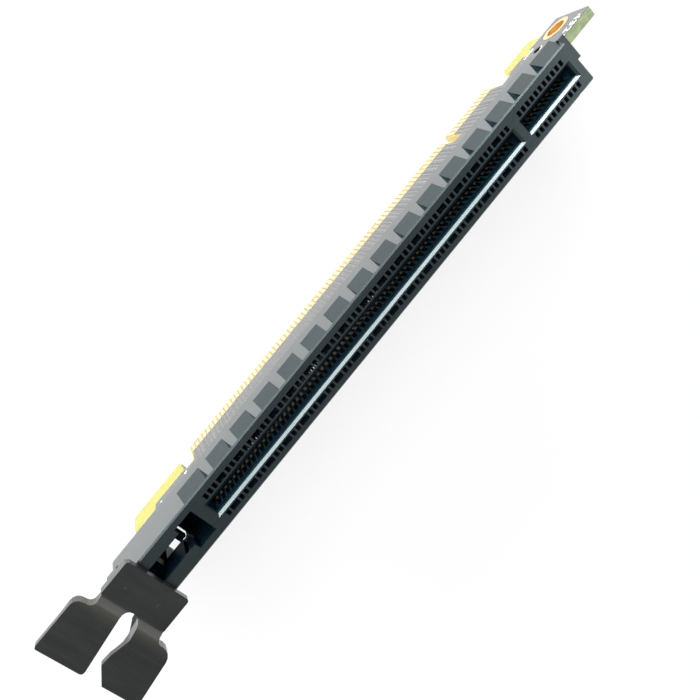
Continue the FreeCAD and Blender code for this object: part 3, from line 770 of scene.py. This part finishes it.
housing_plastic = moulded("housing_plastic", HOUSING_DARK, HOUSING_LIGHT, HOUSING_DEEP_SHADE, housing_matt_and_shade,
                          0.32, 0.22, (0.12, 1.0, 1.0), HOUSING_GLEAM)[0]
wear("socket_housing", housing_plastic)

# The peg is nearly black and has no reflection at all: painted shade, for the hole it stands in.
peg_shaded_plastic, tree, shader = new_finish("peg_shaded_plastic", Base_Color=PEG_SHADE_BLACK)
shader.inputs["Specular IOR Level"].default_value = 0.0
grain = noise(tree, object_place(tree), 0.1 * MM, 3.0)
tree.links.new(spread(tree, grain, 0.3, 0.7, 0.55, 0.75), shader.inputs["Roughness"])
relief(tree, shader, grain, 0.01 * MM, 0.5)
wear("locating_pin", peg_shaded_plastic)

# ---- Socket housing: gate mark ---------------------------------------------------
# The stub of black plastic where the mould was filled, on row B's wall near the latch
# end. It is broken off when the moulding leaves the mould.
GATE_PLACE = (-59.9 * MM, 3.3 * MM, -8.3 * MM)
GATE_RADIUS = 0.28 * MM
GATE_RISE = 0.12 * MM
BUTTON_SINK = 0.05 * MM
BUTTON_SHOULDER = 0.25


def button(place, radius, rise, turn):
    """A low round button at place, which faces along turn, the Y or the Z axis.

    Its height is full in the middle and falls to nothing over the shoulder, a share of the
    radius. Its foot is sunk into the plastic.
    """
    u, v = disc_grid()
    top = rise * np.clip((1.0 - np.hypot(u, v)) / BUTTON_SHOULDER, 0.0, 1.0)
    foot = np.full_like(u, -BUTTON_SINK)
    if turn == "Y":
        over = np.stack([-u * radius, top, v * radius], axis=-1)
        under = np.stack([-u * radius, foot, v * radius], axis=-1)
    else:
        over = np.stack([u * radius, v * radius, top], axis=-1)
        under = np.stack([u * radius, v * radius, foot], axis=-1)
    return closed_sheet(over + np.array(place), under + np.array(place))


mesh_piece("gate_mark", *button(GATE_PLACE, GATE_RADIUS, GATE_RISE, "Y"), housing_plastic,
           slot="black_plastic")

# ---- Latch -----------------------------------------------------------------------
# A separate moulding in the same kind of plastic, snapped into the end of the housing by
# its two pivots. It is painted lighter along the bend in front of the thumb rest: a painted
# highlight.
# Its stem, down in the bay, is matt and painted a dark navy: painted shade, made a little
# lighter deeper down.
BEND_X = -62.1 * MM
BEND_REACH = 1.5 * MM
STEM_TOP = 0.1 * MM
LATCH_DARK = (0.006, 0.006, 0.006, 1)
LATCH_LIGHT = (0.012, 0.012, 0.012, 1)
# Painted shade: the dark navy of the latch's stem in the bay, lighter deeper down.
LATCH_DEEP_SHADE = ((0.002, 0.005, 0.008, 1), (0.006, 0.014, 0.020, 1))
# Painted highlight: the lighter band along the latch's bend.
LATCH_BEND_HIGHLIGHT = (0.030, 0.029, 0.022, 1)


def latch_matt_and_shade(tree):
    """The latch's three shares: its stem and hook, below the plate, are matt and painted shade."""
    axes = axes_of(tree)
    stem = both(tree, maths(tree, "LESS_THAN", axes["Z"], STEM_TOP),
                maths(tree, "LESS_THAN", maths(tree, "ABSOLUTE", axes["Y"]), INSIDE_Y))
    return stem, stem, spread(tree, axes["Z"], STEM_TOP, INSIDE_FOOT)


latch_plastic, tree, shader, plain = moulded("latch_plastic", LATCH_DARK, LATCH_LIGHT, LATCH_DEEP_SHADE,
                                             latch_matt_and_shade, 0.38, 0.32, (1.0, 0.12, 1.0))
axes = axes_of(tree)
off_bend = maths(tree, "ABSOLUTE", maths(tree, "SUBTRACT", axes["X"], BEND_X))
# Painted highlight: a lighter band along the bend in front of the thumb rest.
bend_highlight = both(tree, spread(tree, off_bend, 0.0, BEND_REACH, 1.0, 0.0),
              maths(tree, "GREATER_THAN", axes["Z"], STEM_TOP))
tree.links.new(mixed(tree, bend_highlight, plain, LATCH_BEND_HIGHLIGHT), shader.inputs["Base Color"])
wear("card_latch", latch_plastic)

# ---- Latch: ejector marks --------------------------------------------------------
# Two round marks in the plastic on top of the plate. The mould's ejector pins leave them
# when they push the latch out.
PLATE_TOP = 1.4 * MM
EJECTOR_RADIUS = 0.45 * MM
EJECTOR_RISE = 0.02 * MM
EJECTOR_SPOTS = ((-58.38 * MM, 2.98 * MM), (-58.04 * MM, -2.6 * MM))

ejectors = [button((x, y, PLATE_TOP), EJECTOR_RADIUS, EJECTOR_RISE, "Z") for x, y in EJECTOR_SPOTS]
mesh_piece("ejector_marks", *joined(ejectors), latch_plastic, "latch", "latch_plastic")

# ---- Latch: thumb ridges ---------------------------------------------------------
# Fine raised lines cross both lobes of the thumb rest and give the thumb a hold. They are
# cut into the mould, so they are of one piece with the latch.
RIDGE_PITCH = 0.38 * MM
RIDGE_HALF = 0.10 * MM
RIDGE_STEPS = 5
# The heights of the ridges, one after the other, over and over.
RIDGE_RISE = (0.020 * MM, 0.007 * MM, 0.011 * MM, 0.006 * MM, 0.012 * MM, 0.009 * MM)
RIDGE_SINK = 0.06 * MM
RIDGE_FIRST_X = -64.65 * MM
RIDGE_LAST_X = -70.5 * MM
RIDGE_INSET = 0.25 * MM
# The top of the thumb rest, as its x and its height.
CROWN = ((-71.0 * MM, -62.1 * MM), (3.6 * MM, 2.3 * MM))
# Each lobe in mm: the x and y of its inner edge, then the x and y of its outer edge.
LOBES = (((-71.0, -62.1), (0.65, 1.35), (-71.0, -62.7), (8.75, 8.35)),
         ((-71.0, -68.5, -66.8, -63.9), (-2.65, -0.62, -0.85, -1.85), (-71.0, -62.35), (-8.8, -8.3)))


def ridge(x, inner, outer, height):
    """A straight ridge across a lobe at x, from its inner to its outer edge.

    Its height falls with the square of the way from its middle line.
    """
    run = np.array([max(inner, outer), min(inner, outer)])
    across = np.linspace(1.0, -1.0, RIDGE_STEPS) * RIDGE_HALF
    crown = np.interp(x + across, *CROWN)
    rise = height * (1.0 - (across / RIDGE_HALF) ** 2)
    over, under = (np.stack(np.broadcast_arrays((x + across)[:, None], run[None, :], up[:, None]), axis=-1)
                   for up in (crown + rise, crown - RIDGE_SINK))
    return closed_sheet(over, under)


ridges = []
for inner_x, inner_y, outer_x, outer_y in LOBES:
    for i, x in enumerate(np.arange(RIDGE_FIRST_X, RIDGE_LAST_X, -RIDGE_PITCH)):
        inner = np.interp(x / MM, inner_x, inner_y) * MM
        outer = np.interp(x / MM, outer_x, outer_y) * MM
        away = math.copysign(RIDGE_INSET, outer)
        ridges.append(ridge(x, inner + away, outer - away, RIDGE_RISE[i % len(RIDGE_RISE)]))
mesh_piece("thumb_ridges", *joined(ridges), latch_plastic, "latch", "latch_plastic")
